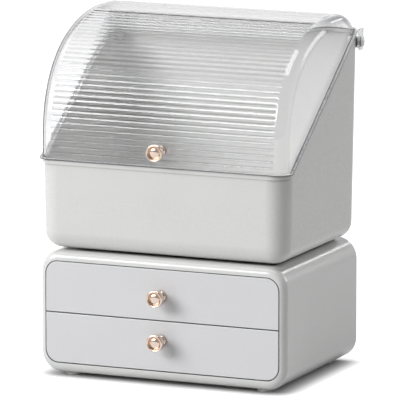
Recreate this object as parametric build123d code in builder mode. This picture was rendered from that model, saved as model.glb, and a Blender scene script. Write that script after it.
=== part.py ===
"""Dustproof makeup organizer: a bin with a clear fluted roll-top lid, standing on a two-drawer cabinet.

Millimetres, +Z up, +Y to the back. The origin lies on the surface that the feet stand on, midway
between the left and right sides, and midway between the knob faces and the rearmost edge.
"""
from build123d import *
import os
from math import asin, atan2, cos, degrees, hypot, radians, sin, tan

os.makedirs("parts", exist_ok=True)

# ---------------------------------------------------------------- driving dimensions
# Cabinet
CABINET_WIDTH = 280.0
CABINET_DEPTH = 198.0
CABINET_HEIGHT = 130.0
CABINET_CORNER_R = 22.0       # corners of the front view
CABINET_EDGE_R = 9.0          # rounding of the front edge
CABINET_BACK_R = 2.2          # rounding of the back edge
CABINET_WALL = 3.0
SIDE_RIM = 6.5                # front rim beside the drawers
LEVEL_RIM = 10.25             # front rim above and below the drawers
OPENING_CORNER_R = 14.5
BACK_PANEL_T = 2.5
BACK_PANEL_INSET = 2.5        # from the cabinet's back edge to the panel
BACK_PANEL_GAP = 0.2          # round the panel's edge
BACK_BOSS_D = 8.0
BACK_BOSS_LENGTH = 12.0
BACK_SCREW_D = 2.9
BACK_SCREW_HEAD_D = 6.0
BACK_SCREW_HEAD_T = 1.8
BACK_SCREW_LENGTH = 9.0
LEDGE_WIDTH = 3.5             # side ledges that carry the shelf
LEDGE_HEIGHT = 3.0
SHELF_T = 2.5
SHELF_SETBACK = 9.0           # from the back of the front rim to the shelf
SHELF_SIDE_GAP = 0.3
GUIDE_WIDTH = 2.0             # guide ribs that keep a tray straight
GUIDE_HEIGHT = 4.0
STOP_T = 2.0                  # stops behind the trays
RUNNER_T = 2.2                # floor runners, which line the cabinet's lower corners
RUNNER_WIDTH = 41.0           # from the cavity's side wall inwards
RUNNER_SIDE_HEIGHT = 32.0     # runner's side above the cavity floor
TRACK_WIDTH = 8.0

# Feet of the cabinet and of the bin
FOOT_D = 20.0
FOOT_HEIGHT = 4.0
FOOT_SIDE_INSET = 30.0
FOOT_FRONT_INSET = 22.0
FOOT_BACK_INSET = 22.0
BIN_FOOT_D = 14.0
BIN_FOOT_HEIGHT = 2.0
BIN_FOOT_SIDE_INSET = 39.0
BIN_FOOT_END_INSET = 38.0
FOOT_RECESS = 0.8
FOOT_RECESS_GAP = 0.1         # round a foot in its recess
FOOT_EDGE_R = 0.8

# Drawers
FRONT_T = 3.0
FRONT_GAP = 0.7               # seam between a drawer front and what is beside it
FRONT_EDGE_R = 0.9
SEAM_HEIGHT = 64.5            # seam between the fronts, above the cabinet's underside
TRAY_SIDE_GAP = 2.0           # between a tray and the side of the opening
TRAY_END_SPACE = 6.0          # between a tray and the bosses behind it
TRAY_HEIGHT = 42.0
TRAY_WALL = 2.2
TRAY_CORNER_GAP = 1.0         # a tray's long rounded edges have a smaller radius than the opening's corners
TRAY_BACK_R = 2.0
TRAY_GAP = 0.3                # a tray over what it slides on, and beside and before what guides it
UPPER_KNOB_HEIGHT = 90.6      # above the cabinet's underside
LOWER_KNOB_HEIGHT = 43.7

# Bin
BIN_SIDE_INSET = 1.0          # each side of the bin's underside, inside the cabinet's side
BIN_END_OUT = 1.0             # front and back of the bin's underside, outside the cabinet's
BIN_DRAFT = 1.0               # degrees, all four walls lean outwards
BIN_BACK_HEIGHT = 221.5       # bin's underside to the top of its back wall
BIN_RIM_HEIGHT = 94.5         # bin's underside to its front rim
BIN_WALL = 3.0
BIN_FLOOR = 3.5
BIN_CORNER_R = 20.0
BIN_BOTTOM_R = 18.0
BEAD_HEIGHT = 4.0             # bead round the front rim
BEAD_OUT = 0.6
SLOPE_START = 16.0            # from the bin's front to where its side walls begin to rise

# Hinge
HINGE_INSET = 8.5             # hinge axis ahead of the back wall's outer face
KNUCKLE_R = 13.0              # round rear corner of the bin's top edge, centred on the hinge axis
BACK_LIP_DEPTH = 10.0         # lip that the lid closes on, from the back wall's outer face inwards
BACK_LIP_T = 3.2
PIN_D = 5.0
PIN_HEAD_D = 8.0
PIN_HEAD_T = 1.2
PIN_END_GAP = 0.1             # pin head off the lid's ear
PIN_RUNNING = 0.05            # radial clearance of the pin in its holes
BOSS_D = 12.0
BOSS_LENGTH = 13.0            # from the bin's side face inwards

# Lid
LID_SIDE_OUT = 1.0            # lid's side outside the side of the bin's underside
LID_FRONT_INSET = 0.5         # lid's front wall behind the bin's front, measured at the bin's underside
LID_WALL = 2.5
LID_RISE = 20.3               # crown of the lid above the top of the bin's back wall
LID_CORNER_R = 13.0
LID_SEAT_GAP = 0.25           # flange over the bin's rim
FLANGE_OUT = 3.4
FLANGE_T = 2.0
FRONT_ARC_R = 112.0
FRONT_ARC_TURN = 62.0         # degrees
CROWN_ARC_R = 166.0
REAR_ARC_R = 42.0             # ends upright over the bin's back wall
LID_REAR_ANGLE = 66.0         # degrees round the hinge axis, from the back upwards, to the lid's rear edge
EAR_T = 1.8
EAR_R = 8.5
EAR_GAP = 0.3                 # ear outside the bin's side wall
RIB_PITCH = 6.55
RIB_DEPTH = 0.7
RIB_TOP = 0.05                # crest of a rib under the smooth surface
RIB_FIRST = 6.0               # from the flange to the first groove
RIB_COUNT = 30
LID_KNOB_HEIGHT = 18.0        # above the bin's front rim
KNOB_PAD_D = 13.0

# Knobs and their screws
KNOB_D = 18.5
KNOB_HEAD_T = 6.5
KNOB_REACH = 19.0             # knob's face ahead of the face that it is screwed to
KNOB_STEM_D = 8.0
KNOB_BASE_D = 11.0
KNOB_BASE_T = 1.8
KNOB_RIM_WIDTH = 2.4
KNOB_DISH_DEPTH = 2.0
KNOB_BUTTON_D = 5.0
KNOB_BUTTON_T = 0.5
SCREW_D = 3.9
SCREW_HOLE_D = 4.4
SCREW_HEAD_D = 8.0
SCREW_HEAD_T = 2.4
SCREW_GRIP = 8.0              # length of the screw inside the knob
SCREW_END_GAP = 1.0
THREAD_GAP = 0.05
WASHER_D = 11.0
WASHER_T = 0.8
WASHER_GAP = 0.3              # round the washer in its seat

# ---------------------------------------------------------------- places worked out from them
cabinet_bottom = FOOT_HEIGHT
cabinet_top = cabinet_bottom + CABINET_HEIGHT
cabinet_middle_z = (cabinet_bottom + cabinet_top) / 2
bin_bottom = cabinet_top + BIN_FOOT_HEIGHT
rim_z = bin_bottom + BIN_RIM_HEIGHT
back_top_z = bin_bottom + BIN_BACK_HEIGHT
lid_top_z = back_top_z + LID_RISE
opening_width = CABINET_WIDTH - 2 * SIDE_RIM
opening_height = CABINET_HEIGHT - 2 * LEVEL_RIM
bin_width = CABINET_WIDTH - 2 * BIN_SIDE_INSET
bin_depth = CABINET_DEPTH + 2 * BIN_END_OUT
lid_half_width = bin_width / 2 + LID_SIDE_OUT


def bin_flare(height):
    """How far each wall of the bin has leaned out at a height above the bin's underside."""
    return height * tan(radians(BIN_DRAFT))


# The knob faces and the bin's back wall are equally far from the origin.
front_reach = max(CABINET_DEPTH / 2, bin_depth / 2 - LID_FRONT_INSET) + KNOB_REACH
back_reach = bin_depth / 2 + bin_flare(BIN_BACK_HEIGHT)
middle_y = (front_reach - back_reach) / 2
cabinet_front_y = middle_y - CABINET_DEPTH / 2
cabinet_back_y = middle_y + CABINET_DEPTH / 2

bin_front_y = middle_y - bin_depth / 2
bin_back_y = middle_y + back_reach
hinge_y = bin_back_y - HINGE_INSET
hinge_z = back_top_z - KNUCKLE_R
lid_front_y = bin_front_y + LID_FRONT_INSET
lid_knob_z = rim_z + LID_KNOB_HEIGHT

# The side walls rise in a straight slope that ends tangent to the round knuckle at the hinge.
slope_start_y = bin_front_y - bin_flare(BIN_RIM_HEIGHT) + SLOPE_START
to_hinge = hypot(hinge_y - slope_start_y, hinge_z - rim_z)
slope_angle = degrees(atan2(hinge_z - rim_z, hinge_y - slope_start_y) + asin(KNUCKLE_R / to_hinge))


def round_hinge(radius, angle):
    """A point (y, z) at a radius and an angle in degrees round the hinge axis, from the back upwards."""
    return (hinge_y + radius * cos(radians(angle)), hinge_z + radius * sin(radians(angle)))


def slope_foot(offset):
    """Where the rim line turns into the slope, for a line that lies an offset above the bin's edge."""
    return (slope_start_y - offset * tan(radians(slope_angle / 2)), rim_z + offset)


def slope_head(offset):
    """Where the slope meets the knuckle, for a line that lies an offset above the bin's edge."""
    return round_hinge(KNUCKLE_R + offset, 90 + slope_angle)


# Side view of the lid: upright front, front arc, crown arc, a flat, rear arc. Each is tangent to the last.
front_turn = radians(FRONT_ARC_TURN)
front_arc_z = lid_top_z - FRONT_ARC_R * sin(front_turn) - CROWN_ARC_R * (1 - sin(front_turn))
crown_y = lid_front_y + FRONT_ARC_R * (1 - cos(front_turn)) + CROWN_ARC_R * cos(front_turn)
front_centre = (lid_front_y + FRONT_ARC_R, front_arc_z)
crown_centre = (crown_y, lid_top_z - CROWN_ARC_R)
rear_centre = (bin_back_y - REAR_ARC_R, lid_top_z - REAR_ARC_R)


def on_arc(centre, radius, lean):
    """A point of a lid arc, where lean is the surface's turn in radians from upright towards the back."""
    return (centre[0] - radius * cos(lean), centre[1] + radius * sin(lean))


def draw_dome(depth):
    """Draw the lid's side view in a line builder, at a depth under its outer surface, down to the bin."""
    upright = radians(90)
    front_radius = FRONT_ARC_R - depth
    crown_radius = CROWN_ARC_R - depth
    rear_radius = REAR_ARC_R - depth
    front_low = (lid_front_y + depth, rim_z - BEAD_HEIGHT)
    rear_end = on_arc(rear_centre, rear_radius, 2 * upright)
    Line(front_low, on_arc(front_centre, front_radius, 0))
    ThreePointArc(
        on_arc(front_centre, front_radius, 0),
        on_arc(front_centre, front_radius, front_turn / 2),
        on_arc(front_centre, front_radius, front_turn),
    )
    ThreePointArc(
        on_arc(crown_centre, crown_radius, front_turn),
        on_arc(crown_centre, crown_radius, (front_turn + upright) / 2),
        on_arc(crown_centre, crown_radius, upright),
    )
    Line(on_arc(crown_centre, crown_radius, upright), on_arc(rear_centre, rear_radius, upright))
    ThreePointArc(
        on_arc(rear_centre, rear_radius, upright), on_arc(rear_centre, rear_radius, 1.5 * upright), rear_end
    )
    Polyline(rear_end, (rear_end[0], front_low[1]), front_low)


def front_at(distance, depth):
    """A point of the lid's fluted front, by its distance along the surface from the rim and its depth."""
    upright_length = front_arc_z - rim_z
    arc_length = FRONT_ARC_R * front_turn
    if distance <= upright_length:
        return (lid_front_y + depth, rim_z + distance)
    if distance <= upright_length + arc_length:
        lean = (distance - upright_length) / FRONT_ARC_R
        return on_arc(front_centre, FRONT_ARC_R - depth, lean)
    lean = front_turn + (distance - upright_length - arc_length) / CROWN_ARC_R
    return on_arc(crown_centre, CROWN_ARC_R - depth, lean)


def finish(part, name):
    """Label a finished piece and write it to its own file."""
    part.label = name
    export_step(part, f"parts/{name}.step")


# ---------------------------------------------------------------- cabinet shell
cavity_front_y = cabinet_front_y + CABINET_WALL
panel_back_y = cabinet_back_y - BACK_PANEL_INSET
panel_front_y = panel_back_y - BACK_PANEL_T
cavity_width = CABINET_WIDTH - 2 * CABINET_WALL
cavity_height = CABINET_HEIGHT - 2 * CABINET_WALL
cavity_corner_r = CABINET_CORNER_R - CABINET_WALL
seam_z = cabinet_bottom + SEAM_HEIGHT
shelf_top_z = seam_z
ledge_top_z = shelf_top_z - SHELF_T
boss_overlap = 0.5
boss_reach = (cavity_corner_r - BACK_BOSS_D / 2 + boss_overlap) * cos(radians(45))
boss_x = cavity_width / 2 - cavity_corner_r + boss_reach
boss_z = cavity_height / 2 - cavity_corner_r + boss_reach
back_holes = [(sx * boss_x, cabinet_middle_z + sz * boss_z) for sx in (-1, 1) for sz in (-1, 1)]
foot_x = CABINET_WIDTH / 2 - FOOT_SIDE_INSET
foot_rows = (cabinet_front_y + FOOT_FRONT_INSET, cabinet_back_y - FOOT_BACK_INSET)
foot_places = {
    "front_left": (-foot_x, foot_rows[0]),
    "front_right": (foot_x, foot_rows[0]),
    "rear_left": (-foot_x, foot_rows[1]),
    "rear_right": (foot_x, foot_rows[1]),
}

with BuildPart() as cabinet_shell:
    with BuildSketch(Plane.XZ.offset(-cabinet_back_y)):
        with Locations((0, cabinet_middle_z)):
            RectangleRounded(CABINET_WIDTH, CABINET_HEIGHT, CABINET_CORNER_R)
    extrude(amount=CABINET_DEPTH)
    fillet(edges().group_by(Axis.Y)[0], CABINET_EDGE_R)
    fillet(edges().group_by(Axis.Y)[-1], CABINET_BACK_R)
    # The cavity opens at the back, and a lip stays round the front opening.
    with BuildSketch(Plane.XZ.offset(-cabinet_back_y)):
        with Locations((0, cabinet_middle_z)):
            RectangleRounded(cavity_width, cavity_height, cavity_corner_r)
    extrude(amount=CABINET_DEPTH - CABINET_WALL, mode=Mode.SUBTRACT)
    with BuildSketch(Plane.XZ.offset(-cavity_front_y)):
        with Locations((0, cabinet_middle_z)):
            RectangleRounded(opening_width, opening_height, OPENING_CORNER_R)
    extrude(amount=CABINET_WALL, mode=Mode.SUBTRACT)
    # Ledges for the shelf run along both side walls.
    with BuildSketch(Plane.XZ.offset(-panel_front_y)):
        for side in (-1, 1):
            with Locations((side * (cavity_width - LEDGE_WIDTH) / 2, ledge_top_z)):
                Rectangle(LEDGE_WIDTH + boss_overlap, LEDGE_HEIGHT, align=(Align.CENTER, Align.MAX))
    extrude(amount=panel_front_y - cavity_front_y)
    # Bosses in the corners take the screws of the back panel.
    with BuildSketch(Plane.XZ.offset(-panel_front_y)):
        with Locations(*back_holes):
            Circle(BACK_BOSS_D / 2)
    extrude(amount=BACK_BOSS_LENGTH)
    with BuildSketch(Plane.XZ.offset(-panel_front_y)):
        with Locations(*back_holes):
            Circle(BACK_SCREW_D / 2 + THREAD_GAP)
    extrude(amount=BACK_BOSS_LENGTH, mode=Mode.SUBTRACT)
    # Shallow recesses hold the feet.
    with BuildSketch(Plane.XY.offset(cabinet_bottom)):
        with Locations(*foot_places.values()):
            Circle(FOOT_D / 2 + FOOT_RECESS_GAP)
    extrude(amount=FOOT_RECESS, mode=Mode.SUBTRACT)
finish(cabinet_shell.part, "cabinet_shell")

# ---------------------------------------------------------------- cabinet back panel and its screws
with BuildPart() as cabinet_back:
    with BuildSketch(Plane.XZ.offset(-panel_back_y)):
        with Locations((0, cabinet_middle_z)):
            RectangleRounded(
                cavity_width - 2 * BACK_PANEL_GAP,
                cavity_height - 2 * BACK_PANEL_GAP,
                cavity_corner_r - BACK_PANEL_GAP,
            )
        with Locations(*back_holes):
            Circle(BACK_SCREW_D / 2 + THREAD_GAP, mode=Mode.SUBTRACT)
    extrude(amount=BACK_PANEL_T)
finish(cabinet_back.part, "cabinet_back")

with BuildPart() as cabinet_back_screws:
    with BuildSketch(Plane.XZ.offset(-panel_back_y)):
        with Locations(*back_holes):
            Circle(BACK_SCREW_HEAD_D / 2)
    extrude(amount=-BACK_SCREW_HEAD_T)
    with BuildSketch(Plane.XZ.offset(-panel_back_y)):
        with Locations(*back_holes):
            Circle(BACK_SCREW_D / 2)
    extrude(amount=BACK_SCREW_LENGTH)
    head_rims = edges().filter_by(GeomType.CIRCLE).group_by(Axis.Y)[-1]
    fillet(head_rims, BACK_SCREW_HEAD_T / 3)
finish(cabinet_back_screws.part, "cabinet_back_screws")

# ---------------------------------------------------------------- shelf and floor runners
shelf_front_y = cavity_front_y + SHELF_SETBACK
boss_front_y = panel_front_y - BACK_BOSS_LENGTH
front_back_y = cabinet_front_y + FRONT_T
tray_width = opening_width - 2 * TRAY_SIDE_GAP
tray_depth = boss_front_y - TRAY_END_SPACE - front_back_y
stop_front_y = front_back_y + tray_depth + TRAY_GAP
guide_inner_x = tray_width / 2 + TRAY_GAP
cavity_floor_z = cabinet_bottom + CABINET_WALL
opening_bottom_z = cabinet_bottom + LEVEL_RIM
lower_tray_z = opening_bottom_z + FRONT_GAP
upper_tray_z = shelf_top_z + TRAY_GAP
runner_top_z = lower_tray_z - TRAY_GAP

with BuildPart() as drawer_shelf:
    with BuildSketch(Plane.XZ.offset(-panel_front_y)):
        with Locations((0, ledge_top_z)):
            Rectangle(cavity_width - 2 * SHELF_SIDE_GAP, SHELF_T, align=(Align.CENTER, Align.MIN))
        for side in (-1, 1):
            with Locations((side * (guide_inner_x + GUIDE_WIDTH / 2), shelf_top_z)):
                Rectangle(GUIDE_WIDTH, GUIDE_HEIGHT, align=(Align.CENTER, Align.MIN))
    extrude(amount=panel_front_y - shelf_front_y)
    with BuildSketch(Plane.XZ.offset(-stop_front_y - STOP_T)):
        with Locations((0, shelf_top_z)):
            Rectangle(2 * guide_inner_x, GUIDE_HEIGHT, align=(Align.CENTER, Align.MIN))
    extrude(amount=STOP_T)
finish(drawer_shelf.part, "drawer_shelf")


def make_runner(side):
    """A lining of one lower corner, with a track under the tray, a guide beside it and a stop behind it."""
    guide_reach = cavity_width / 2 - guide_inner_x
    track_x = side * (cavity_width / 2 - RUNNER_WIDTH + TRACK_WIDTH / 2)
    with BuildPart() as runner:
        with BuildSketch(Plane.XZ.offset(-boss_front_y)):
            with Locations((side * (cavity_width - RUNNER_WIDTH) / 2, cavity_floor_z)):
                Rectangle(RUNNER_WIDTH, RUNNER_SIDE_HEIGHT, align=(Align.CENTER, Align.MIN))
            with Locations((0, cabinet_middle_z)):
                RectangleRounded(
                    cavity_width - 2 * RUNNER_T,
                    cavity_height - 2 * RUNNER_T,
                    cavity_corner_r - RUNNER_T,
                    mode=Mode.SUBTRACT,
                )
            with Locations((track_x, cavity_floor_z)):
                Rectangle(TRACK_WIDTH, runner_top_z - cavity_floor_z, align=(Align.CENTER, Align.MIN))
            with Locations((side * (cavity_width - guide_reach) / 2, cavity_floor_z + RUNNER_SIDE_HEIGHT)):
                Rectangle(guide_reach, GUIDE_HEIGHT, align=(Align.CENTER, Align.MAX))
            with Locations((0, cabinet_middle_z)):
                RectangleRounded(cavity_width, cavity_height, cavity_corner_r, mode=Mode.INTERSECT)
        extrude(amount=boss_front_y - cavity_front_y)
        with BuildSketch(Plane.XZ.offset(-stop_front_y - STOP_T)):
            with Locations((track_x, cavity_floor_z)):
                Rectangle(
                    TRACK_WIDTH, runner_top_z + GUIDE_HEIGHT - cavity_floor_z, align=(Align.CENTER, Align.MIN)
                )
        extrude(amount=STOP_T)
    return runner.part


finish(make_runner(-1), "lower_runner_left")
finish(make_runner(1), "lower_runner_right")


# ---------------------------------------------------------------- feet
def make_foot(place, seat_z, diameter, height):
    """A soft round pad, seated in its recess and standing a height below the face that it is stuck to."""
    with BuildPart() as foot:
        with BuildSketch(Plane.XY.offset(seat_z - height)):
            with Locations(place):
                Circle(diameter / 2)
        extrude(amount=height + FOOT_RECESS)
        fillet(edges().group_by(Axis.Z)[0], FOOT_EDGE_R)
    return foot.part


for foot_name, foot_place in foot_places.items():
    finish(make_foot(foot_place, cabinet_bottom, FOOT_D, FOOT_HEIGHT), f"cabinet_foot_{foot_name}")

bin_foot_x = bin_width / 2 - BIN_FOOT_SIDE_INSET
bin_foot_y = bin_depth / 2 - BIN_FOOT_END_INSET
bin_foot_places = {
    "front_left": (-bin_foot_x, middle_y - bin_foot_y),
    "front_right": (bin_foot_x, middle_y - bin_foot_y),
    "rear_left": (-bin_foot_x, middle_y + bin_foot_y),
    "rear_right": (bin_foot_x, middle_y + bin_foot_y),
}
for foot_name, foot_place in bin_foot_places.items():
    finish(make_foot(foot_place, bin_bottom, BIN_FOOT_D, BIN_FOOT_HEIGHT), f"bin_foot_{foot_name}")


# ---------------------------------------------------------------- drawers


def make_drawer_front(low_z, high_z, knob_z):
    """The part of the rounded drawer outline that lies between two heights, with a hole for its knob."""
    with BuildPart() as front:
        with BuildSketch(Plane.XZ.offset(-front_back_y)):
            with Locations((0, cabinet_middle_z)):
                RectangleRounded(
                    opening_width - 2 * FRONT_GAP,
                    opening_height - 2 * FRONT_GAP,
                    OPENING_CORNER_R - FRONT_GAP,
                )
            with Locations((0, low_z)):
                Rectangle(
                    CABINET_WIDTH, high_z - low_z, align=(Align.CENTER, Align.MIN), mode=Mode.INTERSECT
                )
        extrude(amount=FRONT_T)
        fillet(edges().group_by(Axis.Y)[0], FRONT_EDGE_R)
        with BuildSketch(Plane.XZ.offset(-front_back_y)):
            with Locations((0, knob_z)):
                Circle(SCREW_HOLE_D / 2)
        extrude(amount=FRONT_T, mode=Mode.SUBTRACT)
    return front.part


def draw_tray_outline(floor_z, inset):
    """The cross-section of a tray, inset from its outer face, from a floor height up to its open top."""
    with Locations((0, cabinet_middle_z)):
        RectangleRounded(
            tray_width - 2 * inset,
            opening_height - 2 * FRONT_GAP - 2 * inset,
            OPENING_CORNER_R - TRAY_CORNER_GAP - inset,
        )
    with Locations((0, floor_z + inset)):
        Rectangle(tray_width, TRAY_HEIGHT - inset, align=(Align.CENTER, Align.MIN), mode=Mode.INTERSECT)


def make_tray(floor_z, knob_z):
    """An open tray behind a drawer front, with a hole in its front wall for the knob's screw."""
    with BuildPart() as tray:
        with BuildSketch(Plane.XZ.offset(-front_back_y - tray_depth)):
            draw_tray_outline(floor_z, 0)
        extrude(amount=tray_depth)
        fillet(edges().filter_by(Axis.Z).group_by(Axis.Y)[-1], TRAY_BACK_R)
        with BuildSketch(Plane.XZ.offset(-front_back_y - tray_depth + TRAY_WALL)):
            draw_tray_outline(floor_z, TRAY_WALL)
        extrude(amount=tray_depth - 2 * TRAY_WALL, mode=Mode.SUBTRACT)
        with BuildSketch(Plane.XZ.offset(-front_back_y - TRAY_WALL)):
            with Locations((0, knob_z)):
                Circle(SCREW_HOLE_D / 2)
        extrude(amount=TRAY_WALL, mode=Mode.SUBTRACT)
    return tray.part


def make_knob(face_y, height):
    """A turned knob with a dished face and a small button in the dish, standing on the face at face_y."""
    radius = KNOB_D / 2
    head_back = KNOB_REACH - KNOB_HEAD_T
    stem = KNOB_STEM_D / 2
    dish = radius - KNOB_RIM_WIDTH
    button = KNOB_BUTTON_D / 2
    rim_round = KNOB_RIM_WIDTH / 2
    button_face = KNOB_REACH - KNOB_DISH_DEPTH
    with BuildPart() as knob:
        # Half section: distance from the axis, and reach ahead of the face.
        with BuildSketch(Plane.XY):
            with BuildLine():
                Polyline(
                    (0, 0),
                    (KNOB_BASE_D / 2, 0),
                    (KNOB_BASE_D / 2, KNOB_BASE_T),
                    (stem, KNOB_BASE_T + KNOB_BASE_T / 2),
                    (stem, head_back - KNOB_BASE_T),
                    (radius - rim_round, head_back),
                )
                ThreePointArc(
                    (radius - rim_round, head_back),
                    (radius, (head_back + KNOB_REACH) / 2),
                    (radius - rim_round, KNOB_REACH),
                )
                ThreePointArc(
                    (radius - rim_round, KNOB_REACH),
                    ((radius - rim_round + dish) / 2, KNOB_REACH - KNOB_DISH_DEPTH / 10),
                    (dish, KNOB_REACH - KNOB_DISH_DEPTH / 3),
                )
                ThreePointArc(
                    (dish, KNOB_REACH - KNOB_DISH_DEPTH / 3),
                    ((dish + button) / 2, button_face),
                    (button, button_face),
                )
                TangentArc((0, button_face + KNOB_BUTTON_T), (button, button_face), tangent=(1, 0))
                Line((0, button_face + KNOB_BUTTON_T), (0, 0))
            make_face()
        revolve(axis=Axis.Y)
        with BuildSketch(Plane.XZ):
            Circle(SCREW_D / 2 + THREAD_GAP)
        extrude(amount=-(SCREW_GRIP + SCREW_END_GAP), mode=Mode.SUBTRACT)
    return Pos(0, face_y, height) * knob.part.rotate(Axis.X, 180)


def make_screw(head_y, grip_face_y, height):
    """A pan head screw whose head bears on the face at head_y and whose shank enters a knob ahead of it."""
    shank = head_y - grip_face_y + SCREW_GRIP
    with BuildPart() as screw:
        with BuildSketch(Plane.XZ.offset(-head_y)):
            with Locations((0, height)):
                Circle(SCREW_HEAD_D / 2)
        extrude(amount=-SCREW_HEAD_T)
        fillet(edges().group_by(Axis.Y)[-1], SCREW_HEAD_T / 3)
        with BuildSketch(Plane.XZ.offset(-head_y)):
            with Locations((0, height)):
                Circle(SCREW_D / 2)
        extrude(amount=shank)
    return screw.part


drawers = {
    "lower": (lower_tray_z, opening_bottom_z, seam_z - FRONT_GAP / 2, LOWER_KNOB_HEIGHT),
    "upper": (upper_tray_z, seam_z + FRONT_GAP / 2, cabinet_top - LEVEL_RIM, UPPER_KNOB_HEIGHT),
}
for drawer, (floor_z, low_z, high_z, knob_height) in drawers.items():
    knob_z = cabinet_bottom + knob_height
    finish(make_drawer_front(low_z, high_z, knob_z), f"{drawer}_drawer_front")
    finish(make_tray(floor_z, knob_z), f"{drawer}_drawer_tray")
    finish(make_knob(cabinet_front_y, knob_z), f"{drawer}_drawer_knob")
    finish(make_screw(front_back_y + TRAY_WALL, cabinet_front_y, knob_z), f"{drawer}_drawer_screw")

# ---------------------------------------------------------------- bin
flare_at_back = bin_flare(BIN_BACK_HEIGHT)
bin_side_x = bin_width / 2 + bin_flare(hinge_z - bin_bottom)
boss_end_x = bin_side_x - BOSS_LENGTH
bin_reach = bin_depth + BIN_BACK_HEIGHT


def draw_bin_walls(height, inset, corner):
    """The rounded outline of the bin at a height above its underside, inset from its outer face."""
    flare = 2 * (bin_flare(height) - inset)
    with Locations((0, middle_y)):
        RectangleRounded(bin_width + flare, bin_depth + flare, corner)


with BuildPart() as bin_inside:
    with BuildSketch(Plane.XY.offset(bin_bottom + BIN_FLOOR)):
        draw_bin_walls(BIN_FLOOR, BIN_WALL, BIN_CORNER_R - BIN_WALL)
    with BuildSketch(Plane.XY.offset(bin_bottom + BIN_BACK_HEIGHT)):
        draw_bin_walls(BIN_BACK_HEIGHT, BIN_WALL, BIN_CORNER_R - BIN_WALL + flare_at_back)
    loft(ruled=True)
    fillet(edges().group_by(Axis.Z)[0], BIN_BOTTOM_R - BIN_WALL)
    # A lip stays inside the top of the back wall.
    with BuildSketch(Plane.YZ.offset(-bin_width)):
        with Locations((bin_back_y, hinge_z + KNUCKLE_R)):
            Rectangle(BACK_LIP_DEPTH, BACK_LIP_T, align=(Align.MAX, Align.MAX))
    extrude(amount=2 * bin_width, mode=Mode.SUBTRACT)

with BuildPart() as bin_shell:
    with BuildSketch(Plane.XY.offset(bin_bottom)):
        draw_bin_walls(0, 0, BIN_CORNER_R)
    with BuildSketch(Plane.XY.offset(bin_bottom + BIN_BACK_HEIGHT)):
        draw_bin_walls(BIN_BACK_HEIGHT, 0, BIN_CORNER_R + flare_at_back)
    loft(ruled=True)
    fillet(edges().group_by(Axis.Z)[0], BIN_BOTTOM_R)
    # Bead round the front rim, ending where the side walls begin to rise.
    with BuildSketch(Plane.XY.offset(rim_z - BEAD_HEIGHT)):
        draw_bin_walls(BIN_RIM_HEIGHT, -BEAD_OUT, BIN_CORNER_R)
        with Locations((0, slope_start_y)):
            Rectangle(
                2 * bin_width, 2 * bin_depth, align=(Align.CENTER, Align.MIN), mode=Mode.SUBTRACT
            )
    extrude(amount=BEAD_HEIGHT)
    add(bin_inside.part, mode=Mode.SUBTRACT)
    # Bosses through the rounded rear corners hold the hinge pins.
    for side in (-1, 1):
        with BuildSketch(Plane.YZ.offset(side * boss_end_x)):
            with Locations((hinge_y, hinge_z)):
                Circle(BOSS_D / 2)
        extrude(amount=side * BOSS_LENGTH)
    # Everything above the rim, the slope and the round knuckle is cut away.
    with BuildSketch(Plane.YZ.offset(-bin_width)):
        with BuildLine():
            Polyline((middle_y - bin_reach, rim_z), slope_foot(0), slope_head(0))
            ThreePointArc(
                slope_head(0), round_hinge(KNUCKLE_R, 45 + slope_angle / 2), round_hinge(KNUCKLE_R, 0)
            )
            Polyline(
                round_hinge(KNUCKLE_R, 0),
                (middle_y + bin_reach, hinge_z),
                (middle_y + bin_reach, rim_z + bin_reach),
                (middle_y - bin_reach, rim_z + bin_reach),
                (middle_y - bin_reach, rim_z),
            )
        make_face()
    extrude(amount=2 * bin_width, mode=Mode.SUBTRACT)
    with BuildSketch(Plane.YZ.offset(-bin_width)):
        with Locations((hinge_y, hinge_z)):
            Circle(PIN_D / 2 + PIN_RUNNING)
    extrude(amount=2 * bin_width, mode=Mode.SUBTRACT)
    with BuildSketch(Plane.XY.offset(bin_bottom)):
        with Locations(*bin_foot_places.values()):
            Circle(BIN_FOOT_D / 2 + FOOT_RECESS_GAP)
    extrude(amount=FOOT_RECESS, mode=Mode.SUBTRACT)
finish(bin_shell.part, "bin_shell")

# ---------------------------------------------------------------- hinge pins
ear_inner_x = bin_width / 2 + flare_at_back + EAR_GAP
ear_outer_x = ear_inner_x + EAR_T


def make_hinge_pin(side):
    """A headed pin that goes in through the lid's ear and ends flush with the bin's boss."""
    head_x = ear_outer_x + PIN_END_GAP
    with BuildPart() as pin:
        with BuildSketch(Plane.YZ.offset(side * head_x)):
            with Locations((hinge_y, hinge_z)):
                Circle(PIN_HEAD_D / 2)
        extrude(amount=side * PIN_HEAD_T)
        outer_edge = edges().group_by(Axis.X)[-1 if side > 0 else 0]
        fillet(outer_edge, PIN_HEAD_T / 2)
        with BuildSketch(Plane.YZ.offset(side * head_x)):
            with Locations((hinge_y, hinge_z)):
                Circle(PIN_D / 2)
        extrude(amount=side * (boss_end_x - head_x))
    return pin.part


finish(make_hinge_pin(-1), "hinge_pin_left")
finish(make_hinge_pin(1), "hinge_pin_right")

# ---------------------------------------------------------------- lid
flange_front_y = lid_front_y - FLANGE_OUT
flange_x = lid_half_width + FLANGE_OUT


def make_dome(depth):
    """A lid-shaped block at a depth under the lid's outer surface, with its side edges rounded."""
    half_width = lid_half_width - depth
    with BuildPart() as dome:
        with BuildSketch(Plane.YZ.offset(-half_width)):
            with BuildLine():
                draw_dome(depth)
            make_face()
        extrude(amount=2 * half_width)
        low_edges = edges().filter_by(Axis.Y).group_by(Axis.Z)[0]
        side_edges = faces().filter_by(Axis.X).edges() - low_edges
        fillet(side_edges, LID_CORNER_R - depth)
    return dome.part


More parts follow.
